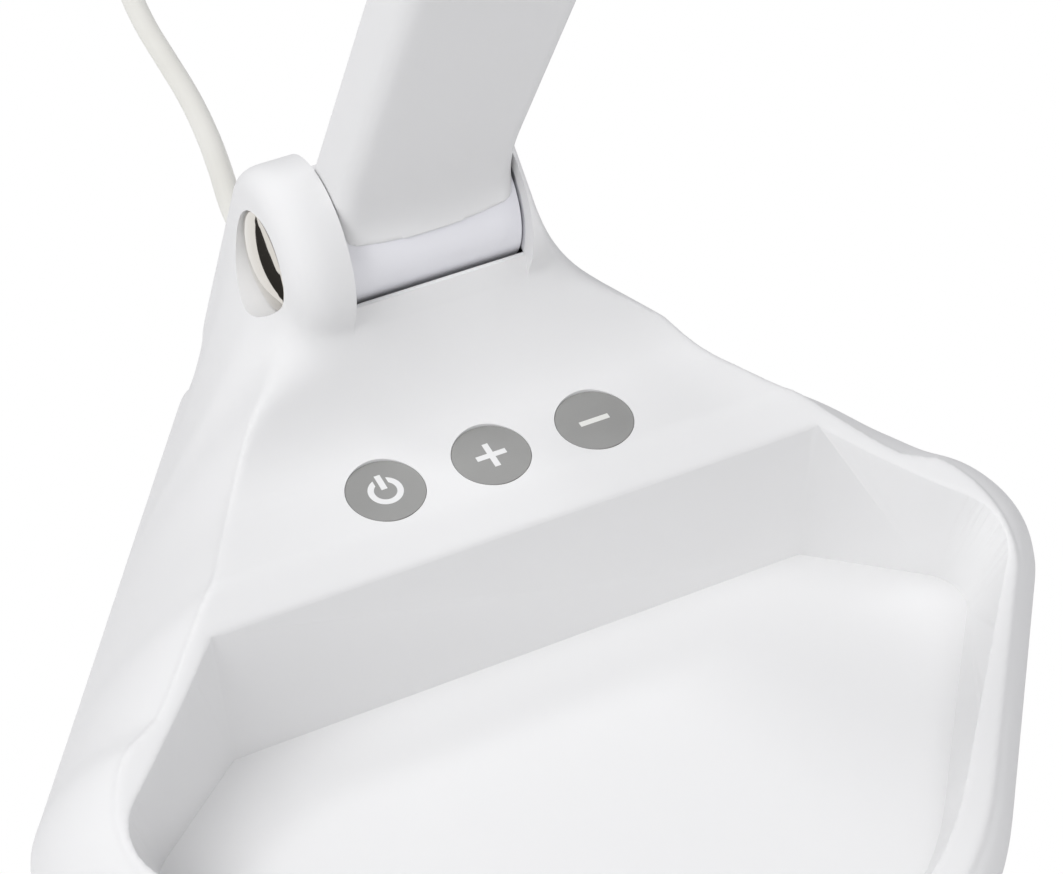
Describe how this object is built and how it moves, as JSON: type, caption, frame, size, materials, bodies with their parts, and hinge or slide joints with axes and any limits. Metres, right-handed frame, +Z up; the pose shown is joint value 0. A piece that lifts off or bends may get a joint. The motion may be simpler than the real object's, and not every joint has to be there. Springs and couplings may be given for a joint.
{
  "type": "folding led desk lamp",
  "caption": "White folding LED desk lamp: tray base with touch keys, flat hinged arm with chrome pivot caps and a slim light bar, on a cord with a plug-in adapter.",
  "frame": {"origin": "centre of the non-slip pad's underside, where the lamp stands, in the lamp's middle plane", "axes": "+Z up, +X along the hinge axes to the viewer's right, -Y towards the front, where the light bar reaches"},
  "size_m": [0.2045, 0.7246, 0.3638],
  "materials": {
    "white_gloss_abs": "glossy injection-moulded white ABS",
    "white_matt_plastic": "matt moulded plastic",
    "key_grey": "matt grey printed touch key",
    "chrome": "polished chrome",
    "steel": "zinc-plated steel",
    "cast_ballast": "plain cast plate",
    "aluminium": "plain sheet",
    "rubber": "soft non-slip foam rubber",
    "board": "green solder mask on glass fibre",
    "chip": "black moulded resin",
    "led_phosphor": "yellow phosphor under clear resin",
    "diffuser_milky": "milky diffusing acrylic",
    "cord_pvc": "soft off-white PVC"
  },
  "bodies": {
    "base": {"base_top_cover": "white_gloss_abs", "base_bottom_cover": "white_matt_plastic", "non_slip_pad": "rubber", "ballast_plate": "cast_ballast", "base_screws": "steel", "control_board": "board", "control_chip": "chip", "board_screws": "steel", "touch_sensor_pads": "steel", "touch_key_power": "key_grey", "touch_key_plus": "key_grey", "touch_key_minus": "key_grey", "hinge_cheek_left": "white_matt_plastic", "hinge_cheek_right": "white_matt_plastic", "lower_hinge_shaft": "steel", "lower_hinge_nut": "steel", "lower_friction_washers": "steel", "lower_cap_left": "chrome", "strain_relief": "cord_pvc", "board_lead": "cord_pvc", "supply_cord": "cord_pvc", "cord_coil": "cord_pvc", "adapter_body": "white_gloss_abs", "adapter_prongs": "chrome", "adapter_bush": "cord_pvc"},
    "arm": {"lower_hinge_barrel": "white_gloss_abs", "arm_front_shell": "white_gloss_abs", "arm_rear_cover": "white_gloss_abs", "arm_core_strip": "steel", "arm_core_screws": "steel", "arm_wire": "chip", "elbow_fork": "white_gloss_abs", "elbow_shaft": "steel", "elbow_nut": "steel", "elbow_cap_left": "chrome", "elbow_cap_right": "chrome", "elbow_friction_washers": "steel"},
    "light_bar": {"head_knuckle": "white_gloss_abs", "head_top_cover": "white_gloss_abs", "head_bottom_frame": "white_gloss_abs", "diffuser": "diffuser_milky", "heat_spreader": "aluminium", "led_board": "board", "led_chips": "led_phosphor", "head_screws": "steel"}
  },
  "joints": [
    {"name": "base_hinge", "type": "hinge", "parent": "base", "child": "arm", "pos_m": [0, 0.047, 0.0715], "axis": [1, 0, 0], "range_deg": [-38, 60]},
    {"name": "elbow_hinge", "type": "hinge", "parent": "arm", "child": "light_bar", "pos_m": [0, -0.09518, 0.34697], "axis": [1, 0, 0], "range_deg": [-62, 116]}
  ]
}
